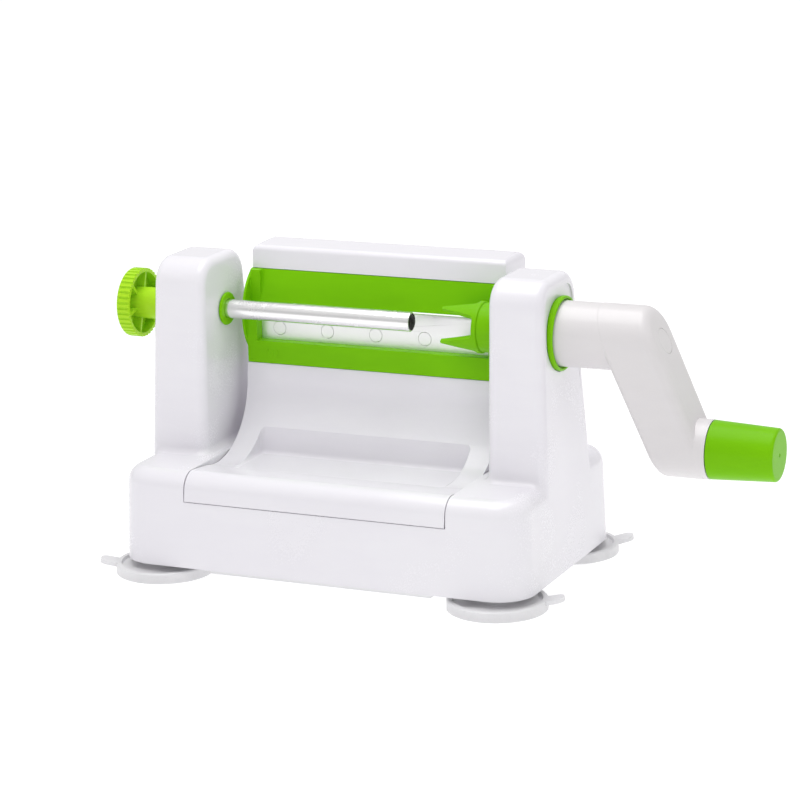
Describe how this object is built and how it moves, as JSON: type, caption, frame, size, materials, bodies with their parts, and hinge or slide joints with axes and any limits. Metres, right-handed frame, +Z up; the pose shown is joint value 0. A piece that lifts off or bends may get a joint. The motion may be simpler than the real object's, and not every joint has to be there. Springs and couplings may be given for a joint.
{
  "type": "vegetable sheet slicer",
  "caption": "Hand-cranked table slicer: a vegetable held between a coring tube and a pronged holder turns against a sprung, tilting blade carriage; low two-tower body on suction cups.",
  "frame": {"origin": "On the table, under the middle of the whole machine's bounding box.", "axes": "+X along the spindle towards the crank, +Y towards the back, +Z up."},
  "size_m": [0.3542, 0.1524, 0.1599],
  "materials": {
    "white_housing": "glossy white ABS moulding",
    "white_plate": "fine-grained white moulding",
    "white_satin": "satin white moulding, slightly greyer than the housing",
    "green_plastic": "glossy lime-green moulding",
    "green_cassette": "satin grass-green moulding",
    "cup_rubber": "soft translucent grey-white vinyl",
    "polished_steel": "drawn and polished stainless tube",
    "blade_steel": "ground stainless blade",
    "screw_steel": "zinc-plated steel",
    "spring_steel": "spring wire"
  },
  "bodies": {
    "base": {"main_housing": "white_housing", "bottom_plate": "white_plate", "bottom_plate_screws": "screw_steel", "cup_studs": "white_plate", "suction_cup_front_left": "cup_rubber", "suction_cup_front_right": "cup_rubber", "suction_cup_rear_left": "cup_rubber", "suction_cup_rear_right": "cup_rubber", "pivot_rod": "polished_steel", "return_springs": "spring_steel"},
    "tube_bush_body": {"tube_bush": "green_plastic", "tube_bush_clip": "spring_steel"},
    "tube_body": {"coring_tube": "polished_steel", "tube_knob": "green_plastic"},
    "crank_bush_body": {"crank_bush": "green_plastic", "crank_bush_clip": "spring_steel"},
    "crank_body": {"crank_arm": "white_satin", "arm_cap": "white_satin", "hub_bolt": "screw_steel", "grip_pin": "screw_steel", "prong_holder": "green_plastic"},
    "grip_body": {"grip": "green_plastic"},
    "carriage_body": {"blade_carriage": "white_housing", "cassette_frame": "green_cassette", "blade_plate": "blade_steel", "blade_rivets": "blade_steel"}
  },
  "joints": [
    {"name": "tube_spin", "type": "hinge", "parent": "base", "child": "tube_bush_body", "pos_m": [-0.122, 0, 0.1287], "axis": [1, 0, 0], "continuous": true},
    {"name": "tube_slide", "type": "slide", "parent": "tube_bush_body", "child": "tube_body", "axis": [1, 0, 0], "range_m": [-0.085, 0]},
    {"name": "crank_spin", "type": "hinge", "parent": "base", "child": "crank_bush_body", "pos_m": [0.0645, 0, 0.1287], "axis": [1, 0, 0], "continuous": true},
    {"name": "crank_slide", "type": "slide", "parent": "crank_bush_body", "child": "crank_body", "axis": [1, 0, 0], "range_m": [-0.012, 0]},
    {"name": "grip_spin", "type": "hinge", "parent": "crank_body", "child": "grip_body", "pos_m": [0.1435, 0, 0.0759], "axis": [1, 0, 0], "continuous": true},
    {"name": "carriage_tilt", "type": "hinge", "parent": "base", "child": "carriage_body", "pos_m": [-0.0435, -0.057, 0.0475], "axis": [-1, 0, 0], "range_deg": [0, 12], "stiffness_Nm_per_rad": 1.5, "springref_deg": -22.92}
  ]
}
